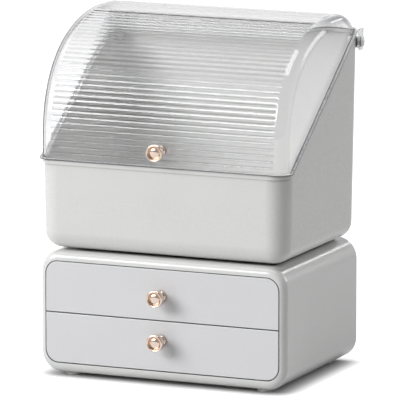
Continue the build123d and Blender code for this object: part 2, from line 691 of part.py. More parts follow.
def draw_seat(offset):
    """Draw the line that lies an offset above the bin's edge, from the front to the lid's rear edge."""
    rear_radius = KNUCKLE_R + offset
    middle_angle = (90 + slope_angle + LID_REAR_ANGLE) / 2
    Polyline((flange_front_y - bin_reach, rim_z + offset), slope_foot(offset), slope_head(offset))
    ThreePointArc(
        slope_head(offset), round_hinge(rear_radius, middle_angle), round_hinge(rear_radius, LID_REAR_ANGLE)
    )


with BuildPart() as lid_flange:
    with BuildSketch(Plane.YZ.offset(-flange_x)):
        with BuildLine():
            low = LID_SEAT_GAP
            high = LID_SEAT_GAP + FLANGE_T
            draw_seat(low)
            draw_seat(high)
            Line((flange_front_y - bin_reach, rim_z + low), (flange_front_y - bin_reach, rim_z + high))
            Line(round_hinge(KNUCKLE_R + low, LID_REAR_ANGLE), round_hinge(KNUCKLE_R + high, LID_REAR_ANGLE))
        make_face()
    extrude(amount=2 * flange_x)
    with BuildSketch(Plane.XY.offset(rim_z)):
        with Locations((0, flange_front_y)):
            RectangleRounded(
                2 * flange_x, bin_reach, LID_CORNER_R + FLANGE_OUT, align=(Align.CENTER, Align.MIN)
            )
    extrude(amount=BIN_BACK_HEIGHT, mode=Mode.INTERSECT)


def draw_ear_neck():
    """The sector round the hinge axis that joins the ear to the flange."""
    outer = KNUCKLE_R + LID_SEAT_GAP + FLANGE_T
    first = round_hinge(outer, LID_REAR_ANGLE)
    last = round_hinge(outer, 90 + slope_angle)
    Polyline(last, round_hinge(0, 0), first)
    ThreePointArc(first, round_hinge(outer, (90 + slope_angle + LID_REAR_ANGLE) / 2), last)


with BuildPart() as lid_shell:
    add(make_dome(0))
    # Horizontal flutes, cut between the smooth front corners.
    with BuildSketch(Plane.YZ.offset(-(lid_half_width - LID_CORNER_R))):
        with BuildLine():
            start = RIB_FIRST + FLANGE_T
            for rib in range(RIB_COUNT):
                near = start + rib * RIB_PITCH
                ThreePointArc(
                    front_at(near, RIB_DEPTH),
                    front_at(near + RIB_PITCH / 2, RIB_TOP),
                    front_at(near + RIB_PITCH, RIB_DEPTH),
                )
            last = start + RIB_COUNT * RIB_PITCH
            outline = [front_at(last, RIB_DEPTH)]
            outline += [front_at(start + rib * RIB_PITCH, -RIB_DEPTH) for rib in range(RIB_COUNT, -1, -1)]
            outline += [front_at(start, RIB_DEPTH)]
            Polyline(*outline)
        make_face()
    extrude(amount=2 * (lid_half_width - LID_CORNER_R), mode=Mode.SUBTRACT)
    # A flat round pad under the knob.
    with BuildSketch(Plane.XZ.offset(-(lid_front_y + LID_WALL / 2))):
        with Locations((0, lid_knob_z)):
            Circle(KNOB_PAD_D / 2)
    extrude(amount=LID_WALL / 2)
    # Everything under the seat and behind the rear edge is cut away.
    with BuildSketch(Plane.YZ.offset(-bin_reach)):
        with BuildLine():
            draw_seat(LID_SEAT_GAP)
            Polyline(
                round_hinge(KNUCKLE_R + LID_SEAT_GAP, LID_REAR_ANGLE),
                round_hinge(bin_reach, LID_REAR_ANGLE),
                (hinge_y + bin_reach, bin_bottom),
                (flange_front_y - bin_reach, bin_bottom),
                (flange_front_y - bin_reach, rim_z + LID_SEAT_GAP),
            )
        make_face()
    extrude(amount=2 * bin_reach, mode=Mode.SUBTRACT)
    add(lid_flange.part)
    for side in (-1, 1):
        with BuildSketch(Plane.YZ.offset(side * ear_inner_x)):
            with BuildLine():
                draw_ear_neck()
            make_face()
            with Locations((hinge_y, hinge_z)):
                Circle(EAR_R)
        extrude(amount=side * EAR_T)
        with BuildSketch(Plane.YZ.offset(side * (lid_half_width - LID_WALL))):
            with BuildLine():
                draw_ear_neck()
            make_face()
            with Locations((hinge_y, hinge_z)):
                Circle(KNUCKLE_R + LID_SEAT_GAP, mode=Mode.SUBTRACT)
        extrude(amount=side * (ear_outer_x - lid_half_width + LID_WALL))
    add(make_dome(LID_WALL), mode=Mode.SUBTRACT)
    # A flat round seat behind the knob, where the wall may curve away from it.
    with BuildSketch(Plane.XZ.offset(-(lid_front_y + LID_WALL))):
        with Locations((0, lid_knob_z)):
            Circle(WASHER_D / 2 + WASHER_GAP)
    extrude(amount=-LID_WALL, mode=Mode.SUBTRACT)
    with BuildSketch(Plane.YZ.offset(-ear_outer_x)):
        with Locations((hinge_y, hinge_z)):
            Circle(PIN_D / 2 + PIN_RUNNING)
    extrude(amount=2 * ear_outer_x, mode=Mode.SUBTRACT)
    with BuildSketch(Plane.XZ.offset(-(lid_front_y + LID_WALL))):
        with Locations((0, lid_knob_z)):
            Circle(SCREW_HOLE_D / 2)
    extrude(amount=LID_WALL, mode=Mode.SUBTRACT)
finish(lid_shell.part, "lid_shell")

# ---------------------------------------------------------------- knob of the lid
lid_inner_y = lid_front_y + LID_WALL

with BuildPart() as lid_knob_washer:
    with BuildSketch(Plane.XZ.offset(-lid_inner_y)):
        with Locations((0, lid_knob_z)):
            Circle(WASHER_D / 2)
            Circle(SCREW_HOLE_D / 2, mode=Mode.SUBTRACT)
    extrude(amount=-WASHER_T)
finish(lid_knob_washer.part, "lid_knob_washer")
finish(make_knob(lid_front_y, lid_knob_z), "lid_knob")
finish(make_screw(lid_inner_y + WASHER_T, lid_front_y, lid_knob_z), "lid_knob_screw")
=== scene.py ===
# %% [markdown]
# # A counter-top organiser: two drawers, a lift-off bin and a clear hinged lid
#
# The real object is moulded plastic. A low cabinet holds two drawers, an open
# bin stands on it, and a clear ribbed lid turns on two pins at the back of the
# bin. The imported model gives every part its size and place, so this script
# only dresses it: it gives each surface a finish, and makes again the small
# turned and moulded parts that are worth a closer look.

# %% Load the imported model
import math

import bmesh
import bpy
from mathutils import Matrix, Vector


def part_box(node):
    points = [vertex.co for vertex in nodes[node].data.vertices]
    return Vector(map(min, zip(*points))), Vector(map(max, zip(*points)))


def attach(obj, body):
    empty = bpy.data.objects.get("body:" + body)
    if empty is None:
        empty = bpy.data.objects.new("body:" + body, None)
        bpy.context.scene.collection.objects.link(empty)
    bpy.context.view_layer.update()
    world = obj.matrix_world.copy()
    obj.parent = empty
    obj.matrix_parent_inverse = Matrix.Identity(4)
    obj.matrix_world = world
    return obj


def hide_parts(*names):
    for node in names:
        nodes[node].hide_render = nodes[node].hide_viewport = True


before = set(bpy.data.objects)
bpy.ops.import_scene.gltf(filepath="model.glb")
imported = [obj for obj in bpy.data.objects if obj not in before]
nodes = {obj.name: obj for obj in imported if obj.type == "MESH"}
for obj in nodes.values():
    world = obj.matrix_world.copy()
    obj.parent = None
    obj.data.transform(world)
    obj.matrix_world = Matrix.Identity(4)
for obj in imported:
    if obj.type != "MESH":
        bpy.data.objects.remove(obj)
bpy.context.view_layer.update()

# %% [markdown]
# ## The camera
#
# A product photographer stands well back with a long lens, so that upright
# edges stay nearly parallel. The lens here is long for the same reason. The
# camera looks down a little and sees the right side of the object, as in the
# photograph. The lens and the sensor are measured in millimetres.

# %% Place the camera
CAMERA_PLACE = Vector((2.3713, -5.3981, 1.2309))
CAMERA_TURN = math.radians(23.68)
CAMERA_DOWN = math.radians(10.09)
CAMERA_LENS = 511.4
CAMERA_SENSOR = 36.0
CAMERA_FAR_LIMIT = 100.0

camera_data = bpy.data.cameras.new("camera")
camera_data.lens = CAMERA_LENS
camera_data.sensor_width = CAMERA_SENSOR
camera_data.clip_end = CAMERA_FAR_LIMIT
camera = bpy.data.objects.new("camera", camera_data)
camera.location = CAMERA_PLACE
camera.rotation_euler = (math.radians(90) - CAMERA_DOWN, 0, CAMERA_TURN)
bpy.context.scene.collection.objects.link(camera)
bpy.context.scene.camera = camera
bpy.context.scene.view_settings.view_transform = "Standard"
print("camera", round(CAMERA_PLACE.length, 2), "m away")

# %% [markdown]
# ## Node materials
#
# Every surface below gets its look from shader nodes. A few helpers keep those
# cells short. One opens a material with an empty tree, and one adds a node and
# sets its named inputs. The others each add a node that is used again and
# again, and return its output, ready to be linked to the next one.


# %% Helpers for node materials
def new_material(name):
    """A material with an empty node tree and its output."""
    material = bpy.data.materials.new(name)
    material.use_nodes = True
    material.node_tree.nodes.clear()
    output = material.node_tree.nodes.new("ShaderNodeOutputMaterial")
    return material, material.node_tree, output


def add_node(tree, kind, **values):
    """Adds a node and sets its named inputs or properties."""
    node = tree.nodes.new(kind)
    for key, value in values.items():
        if hasattr(node, key):
            setattr(node, key, value)
        else:
            node.inputs[key.replace("_", " ")].default_value = value
    return node


def feed(tree, value, socket):
    """Links an output to a socket, or sets the socket to a number or a colour."""
    if isinstance(value, bpy.types.NodeSocket):
        tree.links.new(value, socket)
    else:
        socket.default_value = value


def maths(tree, operation, first, second, clamp=False):
    """The result of a sum with two values."""
    node = add_node(tree, "ShaderNodeMath", operation=operation, use_clamp=clamp)
    feed(tree, first, node.inputs[0])
    feed(tree, second, node.inputs[1])
    return node.outputs[0]


def slide(tree, value, low, high, start=0.0, end=1.0):
    """Goes evenly from low to high while the value goes from start to end."""
    node = add_node(
        tree, "ShaderNodeMapRange", From_Min=start, From_Max=end, To_Min=low, To_Max=high
    )
    feed(tree, value, node.inputs["Value"])
    return node.outputs["Result"]


def mixed_colour(tree, share, first, second):
    """A colour between two others: the first at a share of 0, the second at 1."""
    node = add_node(tree, "ShaderNodeMix", data_type="RGBA")
    feed(tree, share, node.inputs["Factor"])
    feed(tree, first, node.inputs["A"])
    feed(tree, second, node.inputs["B"])
    return node.outputs["Result"]


def mixed_surface(tree, share, first, second):
    """A surface between two others: the first at a share of 0, the second at 1."""
    node = add_node(tree, "ShaderNodeMixShader")
    for value, socket in zip((share, first, second), node.inputs):
        tree.links.new(value, socket)
    return node.outputs["Shader"]


def noise(tree, scale, detail):
    """Noise that keeps its place on the piece."""
    place = add_node(tree, "ShaderNodeTexCoord")
    node = add_node(tree, "ShaderNodeTexNoise", Scale=scale, Detail=detail)
    tree.links.new(place.outputs["Object"], node.inputs["Vector"])
    return node.outputs["Fac"]


def grey(level):
    """A grey that covers fully."""
    return (level, level, level, 1)


# %% [markdown]
# ## Floor, sky and lamps
#
# White plastic on a white sweep is lit by large soft lamps. The backdrop
# looks white to the camera, to mirrors and through clear plastic, but it
# throws less light back on the object, as a floor in a dark studio does. So
# the floor and the sky first ask what kind of ray meets them.


# %% Which rays see the backdrop
def backdrop_rays(tree):
    """1 for rays from the eye, a mirror or clear plastic, and 0 after a dull surface."""
    path = add_node(tree, "ShaderNodeLightPath")
    seen = path.outputs["Is Camera Ray"]
    for kind in ("Is Glossy Ray", "Is Transmission Ray"):
        seen = maths(tree, "MAXIMUM", seen, path.outputs[kind])
    # The depth counts the dull surfaces that a ray has met, so a half parts none from one.
    met_none = maths(tree, "LESS_THAN", path.outputs["Diffuse Depth"], 0.5)
    return maths(tree, "MULTIPLY", seen, met_none)


# %% [markdown]
# The floor is a large pale sheet. Besides the light of the lamps it has a glow
# of its own, which makes it white. The glow is a little weaker in mirrors, so
# that they don't look flat, and through clear plastic, so that the lid's tint
# shows against it. Shadows fall on the floor, and next to the object its glow
# fades, because there the object hides the white room from it. That gives the
# thin soft shadow round the foot of the cabinet.

# %% The floor
FLOOR_SIZE = 30.0
FLOOR_WHITE = 0.4
FLOOR_BOUNCE = 0.55
FLOOR_GLOW = 1.0
FLOOR_IN_MIRRORS = 0.65
FLOOR_THROUGH_LID = 0.88
SHADOW_REACH = 0.02
SHADOW_DEPTH = 1.5

floor_mesh = bmesh.new()
bmesh.ops.create_grid(floor_mesh, x_segments=1, y_segments=1, size=FLOOR_SIZE / 2)
floor_data = bpy.data.meshes.new("floor")
floor_mesh.to_mesh(floor_data)
floor_mesh.free()
floor = bpy.data.objects.new("floor", floor_data)
bpy.context.scene.collection.objects.link(floor)

floor_paint, tree, output = new_material("floor_paint")
seen = backdrop_rays(tree)
matt = add_node(tree, "ShaderNodeBsdfDiffuse")
paint = mixed_colour(tree, seen, grey(FLOOR_BOUNCE), grey(FLOOR_WHITE))
tree.links.new(paint, matt.inputs["Color"])

path = add_node(tree, "ShaderNodeLightPath")
glossy_ray = path.outputs["Is Glossy Ray"]
clear_ray = path.outputs["Is Transmission Ray"]
only_glossy = maths(tree, "SUBTRACT", glossy_ray, clear_ray, clamp=True)
in_mirrors = slide(tree, only_glossy, 1.0, FLOOR_IN_MIRRORS)
through_lid = slide(tree, clear_ray, 1.0, FLOOR_THROUGH_LID)
# Close to the object the glow fades as it would if it came down from a white room.
open_above = add_node(tree, "ShaderNodeAmbientOcclusion", Distance=SHADOW_REACH)
shadow = maths(tree, "POWER", open_above.outputs["AO"], SHADOW_DEPTH)
strength = seen
for share in (FLOOR_GLOW, in_mirrors, shadow, through_lid):
    strength = maths(tree, "MULTIPLY", strength, share)
glow = add_node(tree, "ShaderNodeEmission")
tree.links.new(strength, glow.inputs["Strength"])

both = add_node(tree, "ShaderNodeAddShader")
tree.links.new(matt.outputs["BSDF"], both.inputs[0])
tree.links.new(glow.outputs["Emission"], both.inputs[1])
tree.links.new(both.outputs["Shader"], output.inputs["Surface"])
floor_data.materials.append(floor_paint)
print("floor", FLOOR_SIZE, "m")

# %% [markdown]
# The sky stands for the walls of the studio. It gives little light of its own
# and is dimmer overhead and behind the camera, so that mirrors show a bright
# and a dark side.

# %% The sky
SKY_LIGHT = 0.09
# The height of a direction is 0 at the horizon and 1 overhead.
SKY_OVERHEAD = 0.75
SKY_DIMS_UPWARDS = (0.35, 0.75)
# The depth of a direction is -1 behind the camera and 1 behind the object.
ROOM_LIGHT = 0.4
ROOM_CLEARS_BACKWARDS = (-0.1, 0.25)

world = bpy.data.worlds.new("studio")
bpy.context.scene.world = world
world.use_nodes = True
tree = world.node_tree
tree.nodes.clear()
sky_output = add_node(tree, "ShaderNodeOutputWorld")
direction = add_node(tree, "ShaderNodeTexCoord")
parts = add_node(tree, "ShaderNodeSeparateXYZ")
tree.links.new(direction.outputs["Generated"], parts.inputs[0])
dim_above = slide(tree, parts.outputs["Z"], 1.0, SKY_OVERHEAD, *SKY_DIMS_UPWARDS)
dim_in_front = slide(tree, parts.outputs["Y"], ROOM_LIGHT, 1.0, *ROOM_CLEARS_BACKWARDS)
lit = add_node(tree, "ShaderNodeBackground", Color=grey(1), Strength=SKY_LIGHT)
backdrop = add_node(tree, "ShaderNodeBackground", Color=grey(1))
tree.links.new(maths(tree, "MULTIPLY", dim_above, dim_in_front), backdrop.inputs["Strength"])
sky = mixed_surface(tree, backdrop_rays(tree), lit.outputs[0], backdrop.outputs[0])
tree.links.new(sky, sky_output.inputs["Surface"])
print("sky", SKY_LIGHT)


# %% [markdown]
# A large key lamp at the front left makes the front lighter than the right
# side. Two smaller lamps draw the streaks on the lid's ribs, one hangs above,
# one fills the right side, and a small one behind draws the bright line along
# the cabinet's shoulder. Sizes are in metres and power is in watts.


# %% The lamps
OBJECT_MIDDLE = Vector((0, 0, 0.19))


def soft_lamp(name, place, size, power):
    """A square soft box that faces the object."""
    data = bpy.data.lights.new(name, "AREA")
    data.shape = "SQUARE"
    data.size = size
    data.energy = power
    lamp = bpy.data.objects.new(name, data)
    lamp.location = place
    lamp.rotation_euler = (OBJECT_MIDDLE - Vector(place)).to_track_quat("-Z", "Y").to_euler()
    bpy.context.scene.collection.objects.link(lamp)
    return lamp


lamps = [
    soft_lamp("key_lamp", (-2.8, -2.85, 2.0), size=2.0, power=109),
    soft_lamp("streak_lamp", (-1.6, -3.6, 2.1), size=1.15, power=38),
    soft_lamp("top_lamp", (0, -0.2, 3.0), size=1.7, power=44),
    soft_lamp("crown_lamp", (-1.2, -0.6, 3.0), size=0.9, power=8),
    soft_lamp("side_lamp", (2.4, 2.7, 1.4), size=1.4, power=25),
    soft_lamp("edge_lamp", (0.64, 2.87, 1.45), size=0.35, power=2),
]
print("lamps:", [lamp.name for lamp in lamps])

# %% [markdown]
# ## White plastic
#
# The shells are moulded in white plastic with a fine spark-eroded finish. It
# is not one flat colour: the surface has a grain of a few tenths of a
# millimetre that softens its shine, and the colour drifts a little where the
# melt met. Noise textures at those two sizes give both. The colour is also
# painted darker where other surfaces stand within a few millimetres, such as in
# the seams round the drawers: this is painted shade for the little light that
# reaches narrow gaps. Lengths here are in metres, and the scale of a noise is in
# spots per metre.


# %% Moulded plastic
PLASTIC_INDEX = 1.5
COAT_ROUGHNESS = 0.12
DRIFT_SCALE = 14.0
DRIFT = 0.015
GRAIN_SCALE = 1000.0
GRAIN_DULLNESS = 0.05
GRAIN_STRENGTH = 0.12
GRAIN_HEIGHT = 0.000105
GAP_REACH = 0.003
GAP_STEEPNESS = 1.5
GAP_SHADE_COLOUR = 0.02


def moulded_plastic(name, colour, roughness, coat=0.0, painted_gap_shade=True):
    """Satin moulded plastic with a fine grain and a slight drift of colour."""
    material, tree, output = new_material(name)
    darker = [level - DRIFT for level in colour]
    lighter = [level + DRIFT for level in colour]
    clouds = noise(tree, DRIFT_SCALE, detail=3.0)
    paint = mixed_colour(tree, clouds, (*darker, 1), (*lighter, 1))
    # Painted shade: the colour goes towards a near-black grey where other surfaces stand within a few
    # millimetres.
    if painted_gap_shade:
        open_to_light = add_node(tree, "ShaderNodeAmbientOcclusion", Distance=GAP_REACH)
        in_the_open = maths(tree, "POWER", open_to_light.outputs["AO"], GAP_STEEPNESS)
        paint = mixed_colour(tree, in_the_open, grey(GAP_SHADE_COLOUR), paint)
    grain = noise(tree, GRAIN_SCALE, detail=2.0)
    dull = slide(tree, grain, roughness - GRAIN_DULLNESS, roughness + GRAIN_DULLNESS)
    bump = add_node(tree, "ShaderNodeBump", Strength=GRAIN_STRENGTH, Distance=GRAIN_HEIGHT)
    tree.links.new(grain, bump.inputs["Height"])
    shader = add_node(
        tree,
        "ShaderNodeBsdfPrincipled",
        IOR=PLASTIC_INDEX,
        Coat_Weight=coat,
        Coat_Roughness=COAT_ROUGHNESS,
    )
    tree.links.new(paint, shader.inputs["Base Color"])
    tree.links.new(dull, shader.inputs["Roughness"])
    tree.links.new(bump.outputs["Normal"], shader.inputs["Normal"])
    tree.links.new(shader.outputs["BSDF"], output.inputs["Surface"])
    return material


def paint_nodes(material, names):
    """Gives the named CAD nodes one finish."""
    for name in names:
        for slot in nodes[name].material_slots:
            slot.material = material


bin_white = moulded_plastic("bin_white", (0.75, 0.75, 0.74), 0.28, coat=0.3)
cabinet_white = moulded_plastic("cabinet_white", (0.75, 0.755, 0.745), 0.26, coat=0.4)
drawer_white = moulded_plastic("drawer_white", (0.735, 0.735, 0.75), 0.26, coat=0.4)
inner_white = moulded_plastic("inner_white", (0.68, 0.68, 0.68), 0.5)
paint_nodes(bin_white, ["bin_shell", "hinge_pin_left", "hinge_pin_right"])
paint_nodes(cabinet_white, ["cabinet_shell", "cabinet_back"])
paint_nodes(drawer_white, ["upper_drawer_front", "lower_drawer_front"])
paint_nodes(inner_white, ["drawer_shelf", "lower_runner_left", "lower_runner_right"])
paint_nodes(inner_white, ["upper_drawer_tray", "lower_drawer_tray"])
print("plastics:", [m.name for m in (bin_white, cabinet_white, drawer_white, inner_white)])

# %% [markdown]
# ## Clear plastic
#
# The lid is clear styrene. Light from the lamps has to get through it to the
# bin, so rays on their way to a lamp pass straight on, dimmed. Other rays bend
# at the faces of the wall. They bend less here than in real styrene, which
# would scramble the ribs of the near and of the far wall, and a clear coat
# with the full index gives the shine. Shade is painted into the tint: it is
# darker where the plastic is seen edge-on, in an outline on the soft side
# corners, and in a thin dark line in each valley between two ribs. These stand
# in for light that the real wall bends out of sight. The mesh carries values for
# this: "valley" rises to 1 between two ribs, "corner" on the soft side corners,
# and "side" on the flat cheeks, which the mould leaves less shiny.


# %% Clear lid plastic
LID_TINT = (0.95, 0.95, 0.955, 1)
LID_PAINTED_SHADE_TINT = (0.2, 0.2, 0.215, 1)
LID_INDEX = 1.14
LID_ROUGHNESS = 0.03
LID_COAT = 0.8
LID_COAT_INDEX = 1.5
LID_COAT_ROUGHNESS = 0.04
LID_LAMP_LIGHT = 0.43
EDGE_ON_START = 0.45
EDGE_ON_STEEPNESS = 3.0
CORNER_DARKENS = (0.35, 0.65)
VALLEY_STEEPNESS = 2.0
VALLEY_SHADE = 0.6
CHEEK_DULLNESS = 0.6


def mesh_value(tree, name):
    """A value that the mesh carries from vertex to vertex."""
    return add_node(tree, "ShaderNodeAttribute", attribute_name=name).outputs["Fac"]


def clear_to_lamps(tree, surface, share):
    """Lets a share of the lamps' light straight through a surface."""
    straight = add_node(tree, "ShaderNodeBsdfTransparent", Color=grey(share))
    path = add_node(tree, "ShaderNodeLightPath")
    return mixed_surface(tree, path.outputs["Is Shadow Ray"], surface, straight.outputs["BSDF"])


def clear_plastic(name):
    """Clear plastic that lets the light of the lamps through."""
    material, tree, output = new_material(name)
    side_on = add_node(tree, "ShaderNodeLayerWeight").outputs["Facing"]
    # Painted shade: the tint darkens where the plastic is seen edge-on, in an outline on the side
    # corners, and in a line in each valley.
    nearly_edge_on = slide(tree, side_on, 0.0, 1.0, start=EDGE_ON_START)
    edge_on = maths(tree, "POWER", nearly_edge_on, EDGE_ON_STEEPNESS)
    turned_away = slide(tree, side_on, 0.0, 1.0, *CORNER_DARKENS)
    outline = maths(tree, "MULTIPLY", turned_away, mesh_value(tree, "corner"))
    narrow = maths(tree, "POWER", mesh_value(tree, "valley"), VALLEY_STEEPNESS)
    line = maths(tree, "MULTIPLY", narrow, VALLEY_SHADE)
    painted_shade = maths(tree, "MAXIMUM", maths(tree, "MAXIMUM", edge_on, outline), line)
    tint = mixed_colour(tree, painted_shade, LID_TINT, LID_PAINTED_SHADE_TINT)
    dull_cheek = maths(tree, "MULTIPLY", mesh_value(tree, "side"), CHEEK_DULLNESS)
    coat = slide(tree, maths(tree, "MAXIMUM", painted_shade, dull_cheek), LID_COAT, 0.0)
    shader = add_node(
        tree,
        "ShaderNodeBsdfPrincipled",
        Transmission_Weight=1.0,
        IOR=LID_INDEX,
        Roughness=LID_ROUGHNESS,
        Coat_IOR=LID_COAT_INDEX,
        Coat_Roughness=LID_COAT_ROUGHNESS,
    )
    tree.links.new(tint, shader.inputs["Base Color"])
    tree.links.new(coat, shader.inputs["Coat Weight"])
    surface = clear_to_lamps(tree, shader.outputs["BSDF"], LID_LAMP_LIGHT)
    tree.links.new(surface, output.inputs["Surface"])
    return material


lid_clear = clear_plastic("lid_clear")
print("clear plastic with an index of", LID_INDEX)


# %% [markdown]
# Light that travels inside a clear wall comes out at its edges, so the edges
# look milky: clear plastic with a share of dull white, which clouds it
# unevenly. Two plain finishes go with it: a dark one that paints the shade of
# the thin lines in the lip's corners, and a light one for the face that rests
# on the bin.


# %% Edge of the clear plastic
EDGE_TINT = (0.95, 0.955, 0.96, 1)
EDGE_MILK = (0.86, 0.87, 0.88, 1)
EDGE_MILK_SHARE = (0.15, 0.35)
EDGE_CLOUD_SCALE = 320.0
EDGE_ROUGHNESS = 0.15


def milky_edge(name):
    """The edge faces as they look when light gathers in them."""
    material, tree, output = new_material(name)
    clear = add_node(
        tree,
        "ShaderNodeBsdfPrincipled",
        Base_Color=EDGE_TINT,
        Transmission_Weight=1.0,
        IOR=PLASTIC_INDEX,
        Roughness=EDGE_ROUGHNESS,
    )
    milk = add_node(tree, "ShaderNodeBsdfDiffuse", Color=EDGE_MILK)
    share = slide(tree, noise(tree, EDGE_CLOUD_SCALE, detail=2.0), *EDGE_MILK_SHARE)
    blend = mixed_surface(tree, share, clear.outputs["BSDF"], milk.outputs["BSDF"])
    tree.links.new(clear_to_lamps(tree, blend, 1.0), output.inputs["Surface"])
    return material


lid_edge = milky_edge("lid_edge")
# Painted shade: a near-black plastic for the thin shade lines along the lip.
lid_shade_line = moulded_plastic("lid_shade_line", (0.15, 0.15, 0.16), 0.5, painted_gap_shade=False)
lid_seat = moulded_plastic("lid_seat", (0.6, 0.6, 0.6), 0.4, painted_gap_shade=False)
print("finishes of the lip:", [m.name for m in (lid_edge, lid_shade_line, lid_seat)])

# %% [markdown]
# ## The lid's shape
#
# The real lid is one even wall of clear plastic, moulded with round level
# flutes outside and the same flutes inside. An even wall cools without sink
# marks, and because its two faces run side by side it hardly bends what is
# behind it, so each flute shows mainly as a streak of light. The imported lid
# has a smooth inner face, so the lid is made again here.
#
# Each face starts as a flat grid. A vertex is carried to its place by two
# measures: its distance along the side view, from the rim over the crown to
# the back, and its place across the lid and round the soft side corner.

# %% The side view as a walk
MM = 0.001
# The lid's wall, measured outside, and its lip.
LID_FRONT_Y = -92.18 * MM
LID_HALF_WIDTH = 140.0 * MM
LID_CORNER_R = 13.0 * MM
LID_WALL = 2.5 * MM
LIP_THICKNESS = 2.0 * MM
LIP_WIDTH = 3.4 * MM
# The bin's edge that the lid rests on: level in front, a slope, a knuckle.
RIM_Z = 230.5 * MM
SEAT_GAP = 0.25 * MM
SLOPE_START_Y = -78.33 * MM
SLOPE_TURN = math.radians(35.69)
HINGE = Vector((0, 102.68 * MM, 344.5 * MM))
KNUCKLE_R = 13.0 * MM
# Each run of the side view has a length and a radius, and a straight run has no radius.
UPRIGHT_FRONT = (28.98 * MM, None)
FRONT_ARC = (121.2 * MM, 112.0 * MM)
CROWN_ARC = (81.12 * MM, 166.0 * MM)
LEVEL_TOP = (24.01 * MM, None)
REAR_ARC = (47.0 * MM, 42.0 * MM)
SIDE_VIEW = (UPRIGHT_FRONT, FRONT_ARC, CROWN_ARC, LEVEL_TOP, REAR_ARC)


def side_view(distance):
    """Where the side view is at a distance from the rim, as y, z and how far it leans back."""
    y, z, lean = LID_FRONT_Y, RIM_Z, 0.0
    for length, radius in SIDE_VIEW:
        step = min(distance, length)
        if radius is None:
            y += step * math.sin(lean)
            z += step * math.cos(lean)
        else:
            y += radius * (math.cos(lean) - math.cos(lean + step / radius))
            z += radius * (math.sin(lean + step / radius) - math.sin(lean))
            lean += step / radius
        distance -= step
        if distance <= 0:
            break
    return y, z, lean


walk_end = sum(length for length, radius in SIDE_VIEW)
print("the side view is", round(walk_end, 3), "m long and ends at", side_view(walk_end))

# %% [markdown]
# ## Flutes
#
# The flutes run level across the lid, one above the other, from just over the
# rim to the crown. Each is a shallow round ridge with a sharp valley on both
# sides. They get shallower towards the crown, so that the mould can open, they
# end rounded before the side corners, and they leave a flat round pad for the
# knob. The painted dark line of shade in a valley fades towards the crown too.

# %% Flutes
FLUTE_PITCH = 6.55 * MM
FLUTE_DEPTH = 0.6 * MM
FLUTE_FADE = 0.7
VALLEY_FADE = 0.8
FLUTE_COUNT = 30
FLUTE_START = 8.0 * MM
FLUTE_END = 2.4 * MM
KNOB_DISTANCE = 18.0 * MM
KNOB_PAD_R = 6.5 * MM
KNOB_PAD_SIDE = 8.0 * MM
FLAT_HALF = LID_HALF_WIDTH - LID_CORNER_R


def on_knob_pad(x, distance):
    """True on the flat round pad that carries the knob."""
    return math.hypot(x, distance - KNOB_DISTANCE) < KNOB_PAD_R


def flute_share(x, distance):
    """From 0 on the top of a flute to 1 in the valley beside it."""
    flute = (distance - FLUTE_START) / FLUTE_PITCH
    from_end = (FLAT_HALF - abs(x)) / FLUTE_END
    off_the_flutes = flute < -0.5 or flute > FLUTE_COUNT + 0.5 or from_end <= 0
    if off_the_flutes or on_knob_pad(x, distance):
        return 0.0
    rounded_end = math.sqrt(1 - (1 - min(1.0, from_end)) ** 2)
    # Each whole number is a valley, and a flute's top is halfway between two.
    return rounded_end * (2 * (flute % 1) - 1) ** 2


def towards_crown(distance, fade):
    """Falls from 1 at the upright front by a share, in full where the lid lies level."""
    lean = side_view(distance)[2] / (math.pi / 2)
    return 1 - fade * lean**2


def flute_depth(x, distance):
    """How far a flute lies under the smooth face."""
    return FLUTE_DEPTH * towards_crown(distance, FLUTE_FADE) * flute_share(x, distance)


def steps_between(start, end, count):
    """Evenly spaced values after start, up to end."""
    return [start + (end - start) * (i + 1) / count for i in range(count)]


# The grid is finer where the shape turns: on each flute, round the knob's pad, at
# the flutes' ends and round the side corner.
FLUTE_STEPS = 12
PAD_STEPS = 10
FLAT_STEPS = 6
END_STEPS = 6
CORNER_STEPS = 10
flute_foot = FLUTE_START - FLUTE_PITCH / 2
flute_top = flute_foot + (FLUTE_COUNT + 1) * FLUTE_PITCH
walk_rows = [flute_foot]
walk_rows += steps_between(flute_foot, flute_top, (FLUTE_COUNT + 1) * FLUTE_STEPS)
across = [0.0]
across += steps_between(0, KNOB_PAD_SIDE, PAD_STEPS)
across += steps_between(KNOB_PAD_SIDE, FLAT_HALF - FLUTE_END, FLAT_STEPS)
across += steps_between(FLAT_HALF - FLUTE_END, FLAT_HALF, END_STEPS)
corner_turns = [0.0] * len(across) + steps_between(0, math.pi / 2, CORNER_STEPS)
across += [FLAT_HALF] * CORNER_STEPS
print("grid:", len(across), "columns,", len(walk_rows) + 1, "rows")


# %% [markdown]
# The lid rests on the bin's edge: level in front, up the slope of the side
# walls, and round a knuckle about the hinge, so that it can turn without
# lifting. These functions tell how high a place is over that edge, and how far
# each column of the grid has to run down at the back to reach it.

# %% Where the lid meets the bin
# Angles round the hinge start at the back and grow over the top. The knuckle is
# round up to this angle, and from there the slope runs down to the front.
SLOPE_HEAD = math.pi / 2 + SLOPE_TURN
SLOPE_NORMAL = Vector((0, math.cos(SLOPE_HEAD), math.sin(SLOPE_HEAD)))
HALVINGS = 30


def seat_normal(place):
    """Which way is up from the bin's edge, for a place near the slope or the knuckle."""
    from_hinge = Vector((0, place.y - HINGE.y, place.z - HINGE.z))
    turn = math.atan2(from_hinge.z, from_hinge.y)
    return SLOPE_NORMAL if turn > SLOPE_HEAD else from_hinge.normalized()


def height_over_seat(place):
    """How high a place is over the slope or the knuckle."""
    return (place - HINGE).dot(seat_normal(place)) - KNUCKLE_R


